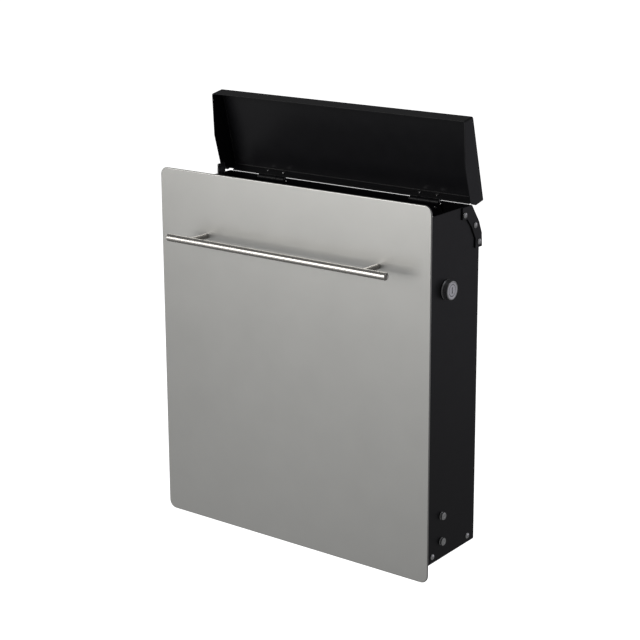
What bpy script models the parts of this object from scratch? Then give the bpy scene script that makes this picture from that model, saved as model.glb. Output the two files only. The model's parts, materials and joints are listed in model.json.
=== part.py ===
"""Wall mounted mailbox: a fixed sheet metal box, a front door that tilts out, a lid on two hinges and a cam lock.

The origin is the centre of the back plate's wall face. +X is to the right, +Y into the wall and +Z up.
The lid stands open, the door is shut and the lock is not turned.
"""

from math import asin, atan2, cos, hypot, pi, radians, sin, sqrt

import bmesh
import bpy
from mathutils import Matrix, Vector

MM = 0.001

# General
SHEET = 1.2 * MM
GAP = 0.3 * MM
STEPS = 24
RIVET_STEPS = 12

# Box
BOX_WIDTH = 321 * MM
BOX_HEIGHT = 376 * MM
BOX_FRONT = 100 * MM
WALL_STEP = 4.3 * MM
CHAMFER_DEPTH = 16.7 * MM
CHAMFER_HEIGHT = 22.6 * MM
DISH_MARGIN = 22 * MM
DISH_CORNER = 16 * MM
KEYHOLE_FROM_DISH_SIDE = 27 * MM
KEYHOLE_BELOW_DISH = 22 * MM
KEYHOLE_RADIUS = 4.5 * MM
KEYHOLE_SLOT_RADIUS = 2.5 * MM
KEYHOLE_RISE = 9 * MM
FLANGE = 12 * MM

# Front door
PANEL_OVERHANG = 17 * MM
PANEL_RISE = 18 * MM
PANEL_THICK = 2 * MM
PANEL_CORNER = 9 * MM
PANEL_STANDOFF = 20 * MM
PANEL_DROP = 6 * MM
TRAY_SWING_CLEARANCE = 0.9 * MM
TRAY_SIDE_CLEARANCE = 2.3 * MM
TRAY_END_CLEARANCE = 5 * MM
DOOR_TILT = radians(35)

# Door pivots
PIVOT_FROM_WALL = 70.5 * MM
PIVOT_ABOVE_BOTTOM = 20 * MM
STOP_RISE = 29 * MM
PIN_RADIUS = 2.5 * MM
PIN_HEAD_RADIUS = 4.2 * MM
PIN_GROOVE_SHARE = 0.72
PIN_PROJECTION = 4 * MM
RING_RADIUS = 5 * MM
RING_THICK = 1 * MM
RING_PLAY = 0.4 * MM
WING_DISC = 14 * MM
WING_RIM = 9 * MM
WING_ROOT_LOW = 4 * MM
WING_ROOT_HIGH = 60 * MM

# Handle
HANDLE_FROM_EDGE = 34 * MM
HANDLE_RADIUS = 4 * MM
HANDLE_BELOW_TOP = 70 * MM
HANDLE_STANDOFF = 28 * MM
HANDLE_EDGE = 0.6 * MM
POST_FROM_END = 30 * MM
POST_RADIUS = 3 * MM
POST_SEAT = 2 * MM
SCREW_RADIUS = 2 * MM
SCREW_HEAD_RADIUS = 3.8 * MM
SCREW_HEAD_HEIGHT = 2 * MM
SCREW_REACH = 8 * MM

# Lock
LOCK_FROM_WALL = 67 * MM
LOCK_BELOW_TOP = 80.5 * MM
LOCK_BEZEL_RADIUS = 10.8 * MM
LOCK_PROJECTION = 8 * MM
LOCK_RECESS = 0.4 * MM
LOCK_RIM = 1.4 * MM
LOCK_BARREL_RADIUS = 8.5 * MM
LOCK_PLUG_RADIUS = 6 * MM
LOCK_BARREL_LENGTH = 13 * MM
LOCK_NUT_RADIUS = 12.5 * MM
LOCK_NUT_THICK = 4 * MM
KEY_SLOT = (1.6 * MM, 7 * MM, 4 * MM)
CAM_REACH = 31 * MM
CAM_WIDTH = 12 * MM
CAM_THICK = 1.6 * MM
CAM_BEHIND_BARREL = 1 * MM
CATCH_HEIGHT = 18 * MM
CATCH_ABOVE_NUT = 1.2 * MM
CATCH_REACH = 14 * MM
CATCH_CLEARANCE = 1.6 * MM

# Lid
LID_INSET = 11 * MM
LID_PANEL_GAP = 3.7 * MM
LID_BELOW_PANEL = 5 * MM
LID_FROM_WALL = 22.9 * MM
LID_OPEN = radians(75.6)
LIP_REAR = 16 * MM
LIP_REAR_LEAN = 0.7 * MM
LIP_FRONT = 17.3 * MM
LIP_FRONT_LEAN = 1.2 * MM
LID_FLANGE_REAR = 25.7 * MM
LID_FLANGE_MIDDLE = 26.7 * MM
LID_MIDDLE = 0.51
LID_TOP_CLEARANCE = 0.8 * MM
LID_CORNER_RUN = 8.2 * MM
LID_CORNER_START = 5 * MM
LID_CORNER_RISE = 2.2 * MM
REST_WIDTH = 13 * MM
REST_FROM_HINGE = 21 * MM
REST_BELOW_TOP = 30 * MM
REST_CLEARANCE = 0.5 * MM

# Hinges
HINGE_FROM_WALL = 20.5 * MM
HINGE_BELOW_TOP = 3 * MM
HINGE_FROM_SIDE = 58 * MM
HINGE_WIDTH = 37 * MM
HINGE_MIDDLE = 15 * MM
HINGE_SIDE_GAP = 0.4 * MM
BARREL_RADIUS = 2.75 * MM
HINGE_PIN_RADIUS = 1 * MM
LEAF_THICK = 1.1 * MM
LEAF_LENGTH = 12.5 * MM
LEAF_RIVET_SPACING = 22 * MM
LEAF_RIVET_INSET = 4 * MM
LEAF_GAP = 0.4 * MM
BARREL_CLEARANCE = 0.8 * MM
HINGE_PIN_EXTRA = 1 * MM

# Rivets
RIVET_HEAD_RADIUS = 3.3 * MM
RIVET_HEAD_HEIGHT = 2 * MM
RIVET_SHANK_RADIUS = 1.6 * MM
RIVET_TAIL_FLARE = 1.5
RIVET_TAIL_SHARE = 1 / 3
SMALL_RIVET = 0.7
FRONT_RIVET_INSET = 12.8 * MM
REAR_RIVET_FROM_WALL = 18 * MM
LOW_RIVET_SHARE = 0.65
TOP_RIVET_FROM_WALL = 35.2 * MM
TOP_RIVET_BELOW_TOP = 8.6 * MM
EAR_UPPER_RIVET_FROM_WALL = 14.9 * MM
EAR_LOWER_RIVET_FROM_WALL = 6.7 * MM

# Hanger ears
EAR_FROM_WALL = 0.4 * MM
EAR_KNEE_FROM_WALL = 1.3 * MM
EAR_KNEE_SHARE = 0.42
EAR_TOP_SHARE = 1.4
EAR_BEND_SHARE = 0.66
EAR_WIDTH = 13 * MM
EAR_LENGTH = 25 * MM
EAR_LAND = 19 * MM

# Places worked out from the sizes above
BOX_HALF = BOX_WIDTH / 2
BOX_INNER = BOX_HALF - SHEET
BOX_TOP = BOX_HEIGHT / 2
BOX_BOTTOM = -BOX_HEIGHT / 2
PANEL_BACK = -BOX_FRONT - PANEL_STANDOFF
PANEL_FACE = PANEL_BACK - PANEL_THICK
PANEL_BOTTOM = BOX_BOTTOM - PANEL_DROP
PANEL_TOP = BOX_TOP + PANEL_RISE
PANEL_HALF = BOX_HALF + PANEL_OVERHANG
TRAY_HALF = BOX_INNER - TRAY_SIDE_CLEARANCE
TRAY_FRONT = PANEL_BACK + GAP
TRAY_BACK_FACE = TRAY_FRONT + SHEET
PIVOT = Vector((0, -PIVOT_FROM_WALL, BOX_BOTTOM + PIVOT_ABOVE_BOTTOM))
CORNER_SWING = hypot(BOX_FRONT - PIVOT_FROM_WALL, PIVOT_ABOVE_BOTTOM)
TRAY_REAR = PIVOT.y - CORNER_SWING - TRAY_SWING_CLEARANCE
LOCK = Vector((BOX_HALF, -LOCK_FROM_WALL, BOX_TOP - LOCK_BELOW_TOP))
HINGE = Vector((0, -HINGE_FROM_WALL, BOX_TOP - HINGE_BELOW_TOP))
LID_TOP = PANEL_TOP - LID_BELOW_PANEL
LID_HALF = PANEL_HALF - LID_INSET
LID_LENGTH = -PANEL_BACK - LID_PANEL_GAP - LID_FROM_WALL
HINGE_X = BOX_HALF - HINGE_FROM_SIDE
CHAMFER_ANGLE = atan2(CHAMFER_HEIGHT, CHAMFER_DEPTH)
CHAMFER_LOW = Vector((0, -WALL_STEP, BOX_TOP - CHAMFER_HEIGHT))
HANDLE_HALF = PANEL_HALF - HANDLE_FROM_EDGE
POST_X = HANDLE_HALF - POST_FROM_END
HANDLE_Z = PANEL_TOP - HANDLE_BELOW_TOP
HANDLE_Y = PANEL_FACE - HANDLE_STANDOFF
HOLE = RIVET_SHANK_RADIUS + GAP
SMALL_HOLE = RIVET_SHANK_RADIUS * SMALL_RIVET + GAP
CAM_FACE = LOCK.x - LOCK_BARREL_LENGTH - CAM_BEHIND_BARREL
CAM_REAR = CAM_FACE - CAM_THICK

# How an outline or a profile drawn in local XY stands in the object
SIDEWAYS = Matrix(((0, 0, 1, 0), (1, 0, 0, 0), (0, 1, 0, 0), (0, 0, 0, 1)))
FRONTWAYS = Matrix(((1, 0, 0, 0), (0, 0, -1, 0), (0, 1, 0, 0), (0, 0, 0, 1)))

MATERIALS = {
    "satin_silver": ((0.60, 0.60, 0.59), 0.38, 1.0),
    "black_powder_coat": ((0.020, 0.020, 0.023), 0.45, 0.0),
    "zinc_plate": ((0.55, 0.56, 0.56), 0.35, 1.0),
    "polished_chrome": ((0.75, 0.75, 0.76), 0.10, 1.0),
    "stainless_bar": ((0.62, 0.62, 0.62), 0.25, 1.0),
}


def clear_scene():
    for obj in list(bpy.data.objects):
        bpy.data.objects.remove(obj, do_unlink=True)


def collection(name, hidden=False):
    made = bpy.data.collections.new(name)
    bpy.context.scene.collection.children.link(made)
    made.hide_render = hidden
    return made


def material(name):
    found = bpy.data.materials.get(name)
    if found:
        return found
    colour, roughness, metallic = MATERIALS[name]
    made = bpy.data.materials.new(name)
    made.use_nodes = True
    shader = made.node_tree.nodes["Principled BSDF"]
    shader.inputs["Base Color"].default_value = (*colour, 1)
    shader.inputs["Roughness"].default_value = roughness
    shader.inputs["Metallic"].default_value = metallic
    return made


def placed(name, mesh, matrix, finish):
    """A mesh object in the parts' collection, or in the cutters' one where it has no finish."""
    made = bpy.data.objects.new(name, mesh)
    made.matrix_world = matrix
    if finish:
        PARTS.objects.link(made)
        mesh.materials.append(material(finish))
    else:
        CUTTERS.objects.link(made)
        made.hide_render = True
        made.display_type = "WIRE"
    return made


def arc(centre, radius, start, end, steps=STEPS):
    """Points along an arc, from start to end in radians, counterclockwise where end is the larger."""
    turns = [start + (end - start) * i / steps for i in range(steps + 1)]
    return [(centre[0] + radius * cos(a), centre[1] + radius * sin(a)) for a in turns]


def circle(centre, radius, steps=STEPS):
    return arc(centre, radius, 0, 2 * pi, steps)[:-1]


def rounded_rectangle(low, high, radius, steps=6):
    corners = (
        (high[0] - radius, high[1] - radius, 0),
        (low[0] + radius, high[1] - radius, pi / 2),
        (low[0] + radius, low[1] + radius, pi),
        (high[0] - radius, low[1] + radius, 3 * pi / 2),
    )
    return [p for u, v, a in corners for p in arc((u, v), radius, a, a + pi / 2, steps)]


def rectangle(low, high):
    return [(low[0], low[1]), (high[0], low[1]), (high[0], high[1]), (low[0], high[1])]


def plate(name, outlines, thickness, matrix, finish=None):
    """A flat piece whose lower face lies in local XY. The first outline is its edge and the others are holes."""
    curve = bpy.data.curves.new(name, "CURVE")
    curve.dimensions = "2D"
    curve.fill_mode = "BOTH"
    curve.extrude = thickness / 2
    for points in outlines:
        spline = curve.splines.new("POLY")
        spline.points.add(len(points) - 1)
        for point, (u, v) in zip(spline.points, points):
            point.co = (u, v, 0, 1)
        spline.use_cyclic_u = True
    guide = bpy.data.objects.new(name + "_outline", curve)
    CUTTERS.objects.link(guide)
    bpy.context.view_layer.update()
    graph = bpy.context.evaluated_depsgraph_get()
    mesh = bpy.data.meshes.new_from_object(guide.evaluated_get(graph))
    bpy.data.objects.remove(guide)
    form = bmesh.new()
    form.from_mesh(mesh)
    bmesh.ops.remove_doubles(form, verts=form.verts, dist=0.01 * MM)
    bmesh.ops.recalc_face_normals(form, faces=form.faces)
    form.to_mesh(mesh)
    form.free()
    mesh.name = name
    return placed(name, mesh, matrix @ Matrix.Translation((0, 0, thickness / 2)), finish)


def block(name, low, high, finish=None):
    mesh = bpy.data.meshes.new(name)
    form = bmesh.new()
    size = Vector(high) - Vector(low)
    bmesh.ops.create_cube(form, size=1, matrix=Matrix.Diagonal((*size, 1)))
    form.to_mesh(mesh)
    form.free()
    centre = (Vector(low) + Vector(high)) / 2
    return placed(name, mesh, Matrix.Translation(centre), finish)


def turned(name, profile, matrix, finish=None, steps=STEPS):
    """A turned piece about local Z. The profile's (radius, height) points run top to bottom on the outer side."""
    mesh = bpy.data.meshes.new(name)
    hollow = profile[0][0] > 0
    points = [(radius, 0, height) for radius, height in profile]
    edges = [(i, i + 1) for i in range(len(points) - 1)]
    if hollow:
        edges.append((len(points) - 1, 0))
    mesh.from_pydata(points, edges, [])
    made = placed(name, mesh, matrix, finish)
    screw = made.modifiers.new("Turn", "SCREW")
    screw.steps = screw.render_steps = steps
    screw.use_merge_vertices = True
    screw.merge_threshold = 0.01 * MM
    screw.use_smooth_shade = finish is not None
    if finish:
        smooth_by_angle(made)
    return made


def smooth_by_angle(made):
    """Shades round stretches smooth and keeps the turned piece's corners crisp."""
    split = made.modifiers.new("Crisp corners", "EDGE_SPLIT")
    split.split_angle = radians(35)
    weld = made.modifiers.new("Closed again", "WELD")
    weld.merge_threshold = 0.01 * MM


def cylinder(name, radius, start, direction, length, finish=None):
    profile = [(0, length), (radius, length), (radius, 0), (0, 0)]
    return turned(name, profile, pointing(start, direction), finish)


def pointing(point, direction):
    """The matrix whose local Z runs along direction from the point."""
    turn = Vector(direction).to_track_quat("Z", "Y")
    return Matrix.Translation(point) @ turn.to_matrix().to_4x4()


def boolean(target, other, operation="DIFFERENCE"):
    step = target.modifiers.new(other.name, "BOOLEAN")
    step.operation = operation
    step.object = other


def attach(pivot, *pieces):
    """Parents the pieces to the empty on their joint's axis and leaves them where they are."""
    for piece in pieces:
        piece.parent = pivot
        piece.matrix_parent_inverse = Matrix.Translation(-pivot.location)


def empty(name, location):
    made = bpy.data.objects.new(name, None)
    made.location = location
    PARTS.objects.link(made)
    return made


def rivet(name, point, direction, grip, scale=1.0, tail=True, finish="polished_chrome"):
    """A domed rivet. The point is on the outer sheet's face, direction points out, grip is the sheets' depth."""
    head, height = RIVET_HEAD_RADIUS * scale, RIVET_HEAD_HEIGHT * scale
    shank = RIVET_SHANK_RADIUS * scale
    dome = [(head * sin(a), GAP + height * cos(a)) for a in (0, pi / 6, pi / 3, pi / 2)]
    bottom = [(shank, GAP), (shank, -grip), (0, -grip)]
    if tail:
        face = -grip - GAP
        flare, end = shank * RIVET_TAIL_FLARE, face - height * RIVET_TAIL_SHARE
        bottom = [(shank, GAP), (shank, face), (flare, face), (flare, end), (0, end)]
    return turned(name, dome + bottom, pointing(point, direction), finish, RIVET_STEPS)


def side_point(side, y, z, x=BOX_HALF):
    return Vector((side * x, y, z))


# Where each rivet stands on a side wall, as (y, z)
def side_rivet_places():
    low = BOX_BOTTOM + FLANGE * LOW_RIVET_SHARE
    return {
        "front": (-BOX_FRONT + FRONT_RIVET_INSET, low),
        "rear": (-REAR_RIVET_FROM_WALL, low),
        "top": (-TOP_RIVET_FROM_WALL, BOX_TOP - TOP_RIVET_BELOW_TOP),
    }


def ear_rivet_places():
    return {
        "upper": (-EAR_UPPER_RIVET_FROM_WALL, CHAMFER_LOW.z),
        "lower": (-EAR_LOWER_RIVET_FROM_WALL, CHAMFER_LOW.z - EAR_LAND),
    }


def pin_places():
    return {"pivot": (PIVOT.y, PIVOT.z), "stop": (PIVOT.y, PIVOT.z + STOP_RISE)}


def side_wall_outline():
    return [
        (-BOX_FRONT, BOX_BOTTOM),
        (-WALL_STEP, BOX_BOTTOM),
        (-WALL_STEP, BOX_TOP - CHAMFER_HEIGHT),
        (-WALL_STEP - CHAMFER_DEPTH, BOX_TOP),
        (-BOX_FRONT, BOX_TOP),
    ]


def ear_outline():
    """A band that follows the chamfer and ends in a tab that reaches the wall."""
    low = CHAMFER_LOW.z - EAR_LENGTH
    top_rear = (-WALL_STEP - CHAMFER_DEPTH - GAP, BOX_TOP - GAP)
    shoulder = CHAMFER_LOW.z - EAR_LENGTH * EAR_KNEE_SHARE
    inner = -EAR_FROM_WALL - EAR_WIDTH
    return [
        (top_rear[0] - EAR_WIDTH * EAR_TOP_SHARE, top_rear[1]),
        top_rear,
        (-WALL_STEP - 2.7 * MM, CHAMFER_LOW.z + 2.6 * MM),
        (-EAR_KNEE_FROM_WALL, shoulder),
        (-EAR_FROM_WALL, low),
        (inner, low),
        (inner, shoulder - 4 * MM),
        (top_rear[0], CHAMFER_LOW.z - 1 * MM),
        (top_rear[0] - EAR_WIDTH * EAR_BEND_SHARE, CHAMFER_LOW.z + 8.6 * MM),
        (top_rear[0] - EAR_WIDTH * EAR_TOP_SHARE, CHAMFER_LOW.z + 9.6 * MM),
    ]


def fixed_box():
    sides = {"right": 1, "left": -1}
    for label, side in sides.items():
        start = BOX_INNER if side > 0 else -BOX_HALF
        holes = [circle(place, HOLE, 12) for place in side_rivet_places().values()]
        holes += [circle(place, HOLE, 12) for place in ear_rivet_places().values()]
        holes += [circle(place, PIN_RADIUS + GAP) for place in pin_places().values()]
        if side < 0:
            holes.append(circle(rest_rivet_place(), SMALL_HOLE, 12))
        else:
            holes.append(circle((LOCK.y, LOCK.z), LOCK_BARREL_RADIUS + GAP))
        outlines = [side_wall_outline(), *holes]
        shift = Matrix.Translation((start, 0, 0))
        plate(f"side_wall_{label}", outlines, SHEET, shift @ SIDEWAYS, "black_powder_coat")

        ear_start = BOX_HALF + GAP if side > 0 else -BOX_HALF - GAP - SHEET
        ear_holes = [circle(place, HOLE, 12) for place in ear_rivet_places().values()]
        ear_holes.append(circle(side_rivet_places()["top"], HOLE, 12))
        shift = Matrix.Translation((ear_start, 0, 0))
        plate(f"hanger_ear_{label}", [ear_outline(), *ear_holes], SHEET, shift @ SIDEWAYS, "black_powder_coat")

        ear_face = BOX_HALF + GAP + SHEET
        ear_grip = SHEET * 2 + GAP
        for place, (y, z) in side_rivet_places().items():
            name, through_ear = f"side_rivet_{place}_{label}", place == "top"
            point = side_point(side, y, z, ear_face if through_ear else BOX_HALF)
            rivet(name, point, (side, 0, 0), ear_grip, tail=False)
        for place, (y, z) in ear_rivet_places().items():
            point = side_point(side, y, z, ear_face)
            rivet(f"ear_rivet_{place}_{label}", point, (side, 0, 0), ear_grip, tail=False)
        for place, (y, z) in pin_places().items():
            pin(f"{place}_pin_{label}", side, y, z)
            ring(f"{place}_ring_{label}", side, y, z)
    back_plate()
    bottom_plate()
    rear_top_plate()
    lid_rest()
    lock_housing()


def pin(name, side, y, z):
    """A shouldered pin: a washer, a groove and a head outside the wall, and a shank that reaches past the wing."""
    head, groove = PIN_HEAD_RADIUS, PIN_HEAD_RADIUS * PIN_GROOVE_SHARE
    inner = RING_PLAY + RING_THICK + TRAY_SIDE_CLEARANCE + SHEET * 2 + 0.8 * MM
    washer, top = GAP + PIN_PROJECTION * 0.25, GAP + PIN_PROJECTION
    profile = [
        (0, top), (head * 0.8, top), (head, top - head * 0.2), (head, washer * 1.7), (groove, washer * 1.7),
        (groove, washer), (head, washer), (head, GAP), (PIN_RADIUS, GAP), (PIN_RADIUS, -inner), (0, -inner),
    ]
    return turned(name, profile, pointing(side_point(side, y, z), (side, 0, 0)), "polished_chrome")


def ring(name, side, y, z):
    """The flat ring that keeps a wing on its pin."""
    outer = TRAY_HALF - SHEET - RING_PLAY
    bore = PIN_RADIUS + 0.05 * MM
    profile = [(bore, 0), (RING_RADIUS, 0), (RING_RADIUS, -RING_THICK), (bore, -RING_THICK)]
    return turned(name, profile, pointing(side_point(side, y, z, outer), (side, 0, 0)), "zinc_plate")


def back_plate():
    """A sheet between the side walls, pressed back to the wall over most of its area, with two keyholes."""
    half = BOX_INNER - GAP
    low, high = BOX_BOTTOM + SHEET + GAP, CHAMFER_LOW.z - SHEET
    rim_front = Matrix.Translation((0, -WALL_STEP, 0)) @ FRONTWAYS
    rim = plate("back_plate", [rectangle((-half, low), (half, high))], SHEET, rim_front, "black_powder_coat")
    dish_low = (-half + DISH_MARGIN, low + DISH_MARGIN)
    dish_high = (half - DISH_MARGIN, high - DISH_MARGIN)
    outline = rounded_rectangle(dish_low, dish_high, DISH_CORNER)
    depth = WALL_STEP + SHEET
    dish = plate("dish_form", [outline], depth - GAP, FRONTWAYS)
    boolean(rim, dish, "UNION")
    inner = rounded_rectangle(
        (dish_low[0] + SHEET, dish_low[1] + SHEET), (dish_high[0] - SHEET, dish_high[1] - SHEET), DISH_CORNER - SHEET
    )
    hollow_front = Matrix.Translation((0, -SHEET, 0)) @ FRONTWAYS
    boolean(rim, plate("dish_hollow", [inner], 2 * depth, hollow_front))
    base = dish_high[1] - KEYHOLE_BELOW_DISH
    for label, side in (("right", 1), ("left", -1)):
        x = side * (dish_high[0] - KEYHOLE_FROM_DISH_SIDE)
        start = atan2(KEYHOLE_SLOT_RADIUS, sqrt(KEYHOLE_RADIUS**2 - KEYHOLE_SLOT_RADIUS**2))
        ring_part = arc((x, base), KEYHOLE_RADIUS, pi / 2 + start, 5 * pi / 2 - start)
        slot_part = arc((x, base + KEYHOLE_RISE), KEYHOLE_SLOT_RADIUS, 0, pi, 10)
        through = Matrix.Translation((0, MM, 0)) @ FRONTWAYS
        boolean(rim, plate(f"keyhole_{label}", [ring_part + slot_part], 3 * MM, through))


def bottom_plate():
    """The bottom sheet with a flange turned up along each side wall, which the side rivets hold."""
    half = BOX_INNER - GAP
    rear = -WALL_STEP - SHEET - 2 * GAP
    outer = block("bottom_plate", (-half, -BOX_FRONT, BOX_BOTTOM), (half, rear, BOX_BOTTOM + FLANGE),
                  "black_powder_coat")
    hollow = block("bottom_hollow", (-half + SHEET, -BOX_FRONT - MM, BOX_BOTTOM + SHEET),
                   (half - SHEET, rear + MM, BOX_BOTTOM + 2 * FLANGE))
    boolean(outer, hollow)
    for place in ("front", "rear"):
        y, z = side_rivet_places()[place]
        bore = cylinder(f"bottom_bore_{place}", HOLE, (-half - MM, y, z), (1, 0, 0), 2 * half + 2 * MM)
        boolean(outer, bore)


def chamfer_frame():
    """Local X runs along the width, local Y up the chamfer from its low edge, and local Z into the box."""
    up = Vector((0, -cos(CHAMFER_ANGLE), sin(CHAMFER_ANGLE)))
    across = Vector((1, 0, 0))
    inward = across.cross(up)
    turn = Matrix((across, up, inward)).transposed().to_4x4()
    return Matrix.Translation(CHAMFER_LOW) @ turn


def hinge_on_chamfer():
    """The hinge axis in the chamfer's frame: (distance up the slope, depth inside the outer face)."""
    local = chamfer_frame().inverted() @ HINGE
    return local.y, local.z


def leaf_rivet_xs():
    places = {}
    for label, side in (("right", 1), ("left", -1)):
        for place, step in (("outer", 1), ("inner", -1)):
            places[f"{place}_{label}"] = side * (HINGE_X + step * LEAF_RIVET_SPACING / 2)
    return places


def rear_top_plate():
    """The sloped sheet that closes the box behind the hinges. It is cut away round the hinge barrels."""
    half = BOX_INNER - GAP
    up, depth = hinge_on_chamfer()
    top = up + sqrt(BARREL_RADIUS**2 - depth**2)
    notch = up - BARREL_RADIUS - BARREL_CLEARANCE
    reach = (HINGE_WIDTH + HINGE_PIN_EXTRA) / 2 + GAP * 2
    outline = [(-half, 0), (half, 0), (half, top)]
    for centre in (HINGE_X, -HINGE_X):
        outline += [(centre + reach, top), (centre + reach, notch), (centre - reach, notch), (centre - reach, top)]
    outline.append((-half, top))
    holes = [circle((x, fixed_leaf_rivet_up()), SMALL_HOLE, 12) for x in leaf_rivet_xs().values()]
    plate("rear_top_plate", [outline, *holes], SHEET, chamfer_frame(), "black_powder_coat")


def fixed_leaf_rivet_up():
    up, _ = hinge_on_chamfer()
    return up - LEAF_LENGTH + LEAF_RIVET_INSET


def leaf_section(near, far, length, reach):
    """A leaf and its barrel, in (distance from the axis along the leaf, height above it)."""
    start = atan2(far, sqrt(reach**2 - far**2))
    end = atan2(near, sqrt(reach**2 - near**2)) + 2 * pi
    return [(length, near), (length, far)] + arc((0, 0), reach, start, end)


def hinge_leaf(name, side, near, matrix, middle, finish="black_powder_coat"):
    """One leaf, whose barrel keeps its middle knuckle or its two outer ones."""
    start = side * HINGE_X - HINGE_WIDTH / 2
    section = leaf_section(near, near + LEAF_THICK, LEAF_LENGTH, BARREL_RADIUS)
    shift = Matrix.Translation((start, 0, 0))
    bore = circle((0, 0), HINGE_PIN_RADIUS + GAP, 16)
    leaf = plate(name, [section, bore], HINGE_WIDTH, shift @ matrix, finish)
    centre = side * HINGE_X
    half = HINGE_MIDDLE / 2
    spans = [(-half - HINGE_SIDE_GAP, half + HINGE_SIDE_GAP)]
    if middle:
        spans = [(-HINGE_WIDTH, -half), (half, HINGE_WIDTH)]
    reach = BARREL_RADIUS + 0.6 * MM
    for i, (low, high) in enumerate(spans):
        cutter = cylinder(f"{name}_gap_{i}", reach, HINGE + Vector((centre + low, 0, 0)), (1, 0, 0), high - low)
        boolean(leaf, cutter)
    return leaf


def along_leaf(direction, above):
    """The matrix for a leaf's section: local X along the leaf, local Y above it, local Z along +X."""
    turn = Matrix((direction, above, Vector((1, 0, 0)))).transposed().to_4x4()
    return Matrix.Translation(HINGE) @ turn


def fixed_leaves():
    frame = chamfer_frame()
    down = -(frame.to_3x3() @ Vector((0, 1, 0)))
    outward = -(frame.to_3x3() @ Vector((0, 0, 1)))
    up, depth = hinge_on_chamfer()
    near = depth - SHEET - GAP - LEAF_THICK
    for label, side in (("right", 1), ("left", -1)):
        section = along_leaf(down, outward)
        leaf = hinge_leaf(f"hinge_leaf_{label}", side, near, section, middle=True)
        for place in ("outer", "inner"):
            x = leaf_rivet_xs()[f"{place}_{label}"]
            face = frame @ Vector((x, fixed_leaf_rivet_up(), 0))
            inward = -outward
            boolean(leaf, cylinder(f"leaf_bore_{place}_{label}", SMALL_HOLE, face, inward, 8 * MM))
            grip = SHEET + GAP + LEAF_THICK
            rivet(f"leaf_rivet_{place}_{label}", face, outward, grip, SMALL_RIVET)


def rest_rivet_place():
    return (HINGE.y - REST_FROM_HINGE, BOX_TOP - REST_BELOW_TOP * 0.6)


def lid_rest():
    """The tab inside the left wall that the shut lid lies on."""
    y, _ = rest_rivet_place()
    low, high = BOX_TOP - REST_BELOW_TOP, LID_TOP - SHEET - REST_CLEARANCE
    outline = rounded_rectangle((y - REST_WIDTH / 2, low), (y + REST_WIDTH / 2, high), 1.5 * MM, 3)
    hole = circle(rest_rivet_place(), SMALL_HOLE, 12)
    shift = Matrix.Translation((-BOX_INNER + GAP, 0, 0))
    plate("lid_rest", [outline, hole], SHEET, shift @ SIDEWAYS, "zinc_plate")
    grip = SHEET * 2 + GAP
    rivet("lid_rest_rivet", side_point(-1, *rest_rivet_place()), (-1, 0, 0), grip, SMALL_RIVET)


def lock_catch():
    """The arm on the door's right flange. Its bent end stands behind the turned cam, so the door can't tilt."""
    outer = TRAY_HALF - SHEET - GAP
    front = TRAY_BACK_FACE + GAP
    tab_front = LOCK.y + CAM_WIDTH / 2 + CATCH_CLEARANCE
    rear = tab_front + SHEET
    low = LOCK.z + LOCK_NUT_RADIUS + CATCH_ABOVE_NUT
    high = low + CATCH_HEIGHT
    arm = block("lock_catch", (outer - SHEET, front, low), (outer, rear, high), "black_powder_coat")
    tab = block("catch_tab", (outer - CATCH_REACH, tab_front, low), (outer - SHEET / 2, rear, high))
    boolean(arm, tab, "UNION")
    return arm


def wing_outline():
    """A door wing in (y, z): its root on the tray, the sector round the stop slot and the disc round the pivot."""
    y, z = PIVOT.y, PIVOT.z
    root = TRAY_REAR - MM
    rim = STOP_RISE + WING_RIM
    sector = arc((y, z), rim, pi / 2 + radians(15), pi / 2 - DOOR_TILT - radians(12), 10)
    disc = arc((y, z), WING_DISC, radians(30), -pi / 2 - radians(20), 12)
    return [(root, z + WING_ROOT_LOW), (root, z + WING_ROOT_HIGH)] + sector + disc


def stop_slot():
    """The arc that the fixed stop pin runs along while the door tilts."""
    y, z = PIVOT.y, PIVOT.z
    half = PIN_RADIUS + GAP
    top, end = pi / 2, pi / 2 - DOOR_TILT
    outer = arc((y, z), STOP_RISE + half, top, end, 8)
    inner = arc((y, z), STOP_RISE - half, end, top, 8)
    far = (y + STOP_RISE * cos(end), z + STOP_RISE * sin(end))
    far_cap = arc(far, half, end, end - pi, 8)[1:-1]
    near_cap = arc((y, z + STOP_RISE), half, -pi / 2, -3 * pi / 2, 8)[1:-1]
    return outer + far_cap + inner + near_cap


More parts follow.
